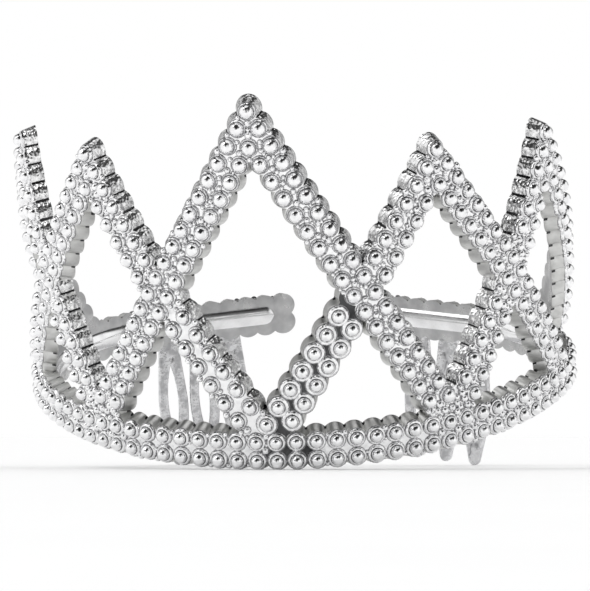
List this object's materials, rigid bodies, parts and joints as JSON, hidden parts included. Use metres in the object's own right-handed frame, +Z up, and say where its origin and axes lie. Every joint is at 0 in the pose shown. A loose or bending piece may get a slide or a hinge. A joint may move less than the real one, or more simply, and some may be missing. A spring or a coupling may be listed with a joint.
{
  "type": "princess crown",
  "caption": "Open tiara of silver-coated plastic with pointed peaks of crossing beaded struts, a beaded headband and hair combs at its ends.",
  "frame": {"origin": "on the surface that the crown rests on, under the middle of its bounding box", "axes": "+Z up at rest, -Y towards the front, +X towards the right as seen from the front"},
  "size_m": [0.1444, 0.141, 0.0894],
  "materials": {
    "coated_plastic": "moulded plastic with a mirror-bright metallised silver coating",
    "comb_plastic": "moulded plastic with a grainy satin metallised silver coating"
  },
  "bodies": {
    "root": {"headband": "coated_plastic", "centre_peak": "coated_plastic", "front_vee": "coated_plastic", "left_middle_peak": "coated_plastic", "right_middle_peak": "coated_plastic", "left_end_peak": "coated_plastic", "right_end_peak": "coated_plastic", "left_side_strut": "coated_plastic", "right_side_strut": "coated_plastic", "left_loop_1": "comb_plastic", "left_loop_2": "comb_plastic", "left_loop_3": "comb_plastic", "right_loop_1": "comb_plastic", "right_loop_2": "comb_plastic", "right_loop_3": "comb_plastic"}
  },
  "joints": []
}
